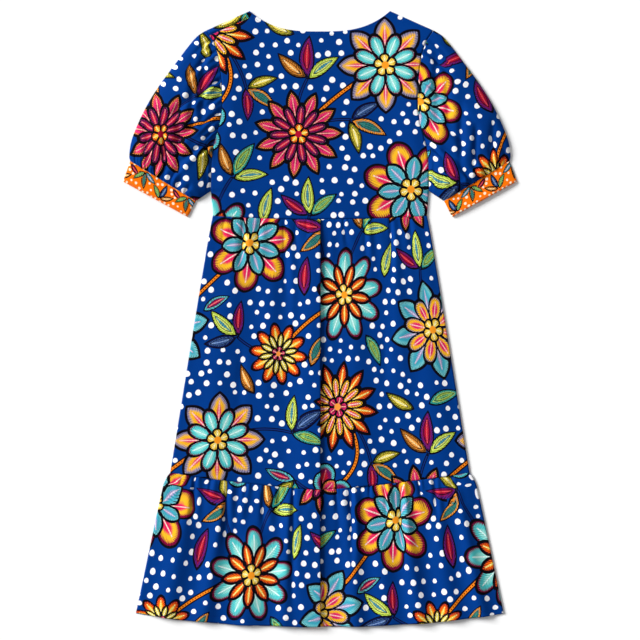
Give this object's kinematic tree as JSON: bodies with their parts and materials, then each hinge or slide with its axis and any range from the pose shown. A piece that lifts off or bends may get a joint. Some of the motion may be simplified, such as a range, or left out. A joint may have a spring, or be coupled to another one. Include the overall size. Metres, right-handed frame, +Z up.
{
  "type": "puff sleeve midi dress",
  "caption": "Midi dress laid flat, back up: scooped neck, short puff sleeves with narrow cuffs, gathered skirt with a soft centre fold, and a gathered hem tier.",
  "frame": {"origin": "middle of the dress's box, on the surface it lies on", "axes": "+Z up, away from the surface; +Y along the dress towards the neck; +X across the dress, to the right as seen from above"},
  "size_m": [0.7362, 1.15, 0.0198],
  "materials": {
    "print_cloth": "light woven cloth, cobalt blue with white dots and large flowers",
    "cuff_cloth": "light woven cloth, orange with small white dots and leaves"
  },
  "bodies": {
    "root": {"bodice_back": "print_cloth", "bodice_front": "print_cloth", "skirt_back": "print_cloth", "skirt_front": "print_cloth", "tier_back": "print_cloth", "tier_front": "print_cloth", "sleeve_left": "print_cloth", "sleeve_right": "print_cloth", "cuff_left": "cuff_cloth", "cuff_right": "cuff_cloth"}
  },
  "joints": []
}
